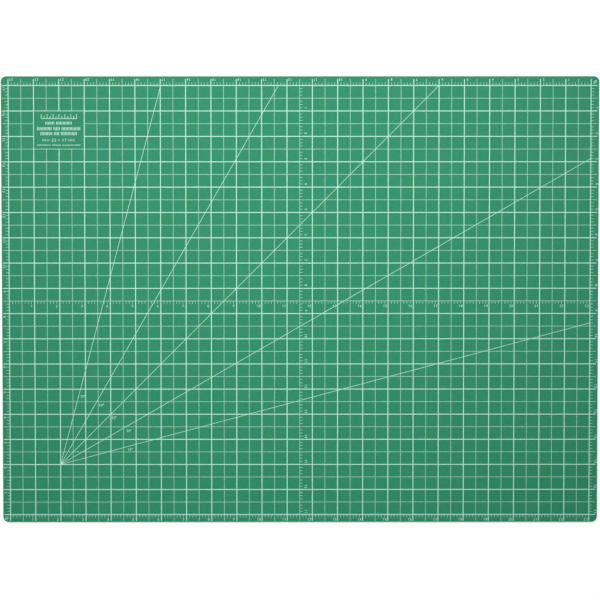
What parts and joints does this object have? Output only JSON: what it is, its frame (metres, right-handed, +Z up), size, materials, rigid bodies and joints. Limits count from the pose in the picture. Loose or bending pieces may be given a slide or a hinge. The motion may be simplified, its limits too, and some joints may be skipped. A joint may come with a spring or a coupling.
{
  "type": "cutting mat",
  "caption": "Large self-healing cutting mat: rounded laminated sheet with a printed inch grid, edge scales, centre rulers and angle guides.",
  "frame": {"origin": "middle of the underside, on the surface that the mat lies on", "axes": "+X along the long side, to the right as the lower edge scale is read; +Y along the short side, to the top edge; +Z up out of the printed face"},
  "size_m": [0.6, 0.449, 0.003],
  "materials": {
    "green_pvc": "soft PVC with a fine pebbled matte surface that closes over cuts",
    "stop_film": "hard PVC film, seen only as a hairline on the cut edge",
    "core_pvc": "dark resilient PVC, seen only on the cut edge",
    "print_ink": "pale mint white screen ink, matte and slightly raised"
  },
  "bodies": {
    "root": {"top_healing_sheet": "green_pvc", "upper_stop_film": "stop_film", "core_sheet": "core_pvc", "lower_stop_film": "stop_film", "bottom_healing_sheet": "green_pvc", "inch_grid_lines": "print_ink", "half_inch_lines": "print_ink", "bottom_edge_ticks": "print_ink", "top_edge_ticks": "print_ink", "left_edge_ticks": "print_ink", "right_edge_ticks": "print_ink", "bottom_edge_numerals": "print_ink", "top_edge_numerals": "print_ink", "left_edge_numerals": "print_ink", "right_edge_numerals": "print_ink", "centre_ruler_ticks_across": "print_ink", "centre_ruler_ticks_down": "print_ink", "centre_numerals_across": "print_ink", "centre_numerals_down": "print_ink", "angle_guide_lines": "print_ink", "angle_labels": "print_ink", "label_frame": "print_ink", "label_marks": "print_ink"}
  },
  "joints": []
}
